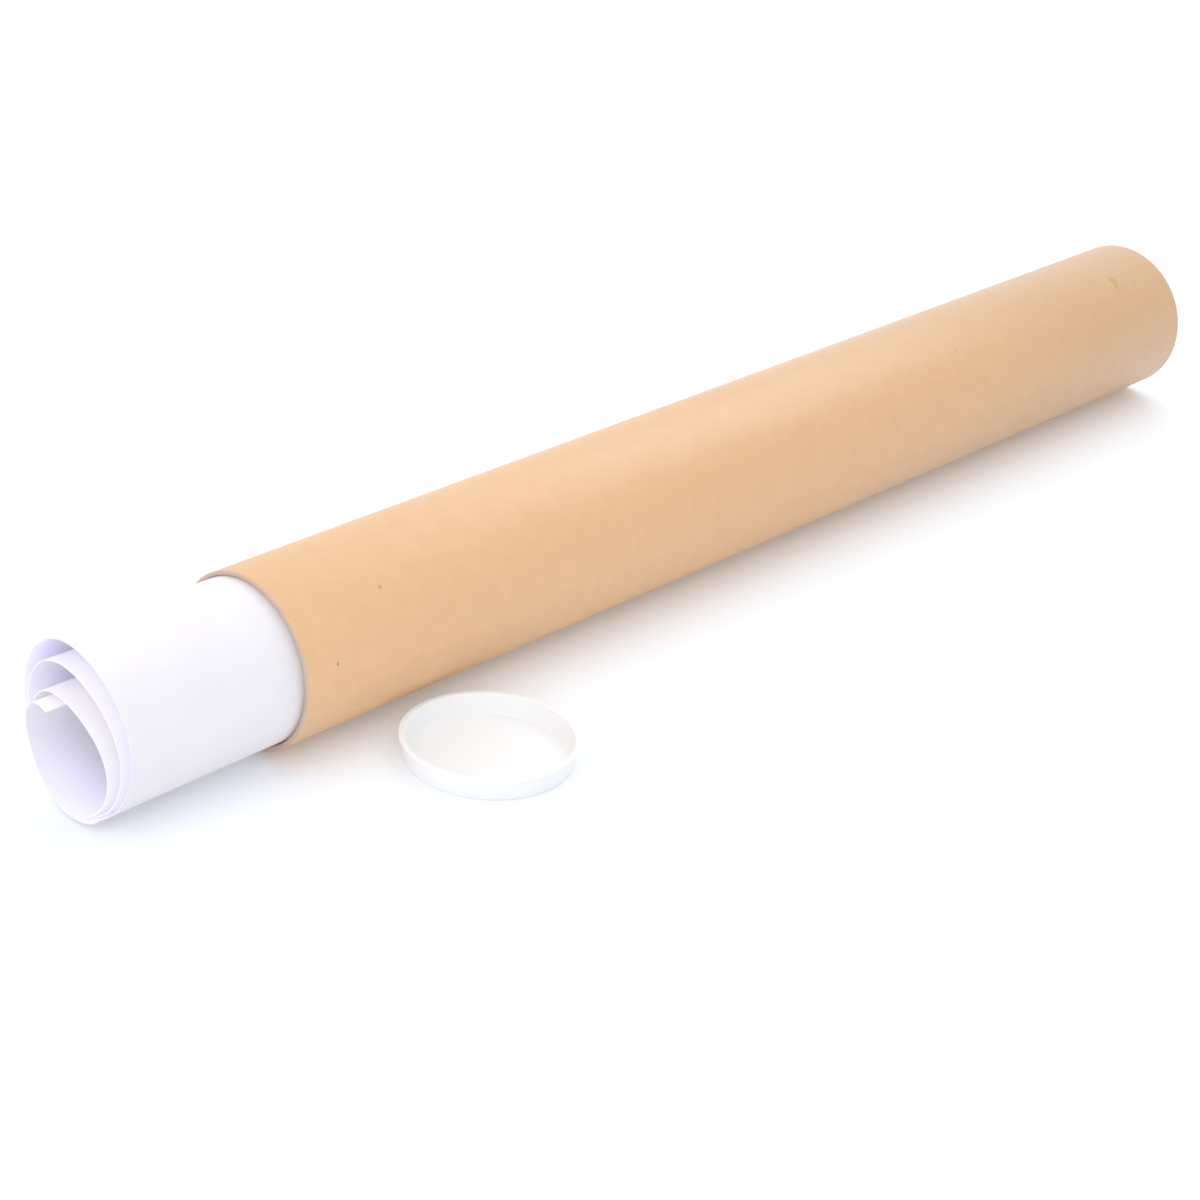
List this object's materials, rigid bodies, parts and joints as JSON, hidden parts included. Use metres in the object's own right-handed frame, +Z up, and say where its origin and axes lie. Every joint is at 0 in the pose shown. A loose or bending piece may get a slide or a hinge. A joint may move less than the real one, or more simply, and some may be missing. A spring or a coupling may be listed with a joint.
{
  "type": "cardboard mailing tube",
  "caption": "Kraft cardboard mailing tube lying open, a loosely rolled white sheet standing out of its mouth, with its plug cap beside it and another in the far end.",
  "frame": {"origin": "on the floor under the part, in the middle of its footprint, which is that of the tube, the roll standing out of it and the cap beside it", "axes": "+X along the tube from its open mouth to its closed far end, +Z up, and the loose cap lies on the -Y side"},
  "size_m": [0.7622, 0.1546, 0.08],
  "materials": {
    "kraft_board": "matt brown kraft paper surface with fine fibres",
    "white_paper": "smooth matt white drawing paper",
    "white_plastic": "satin moulded white polythene, a little translucent"
  },
  "bodies": {
    "tube": {"tube": "kraft_board", "paper_roll": "white_paper", "loose_end_cap": "white_plastic"},
    "far_cap": {"far_end_cap": "white_plastic"}
  },
  "joints": [
    {"name": "far_cap_pull", "type": "slide", "parent": "tube", "child": "far_cap", "axis": [1, 0, 0], "range_m": [0, 0.025]}
  ]
}
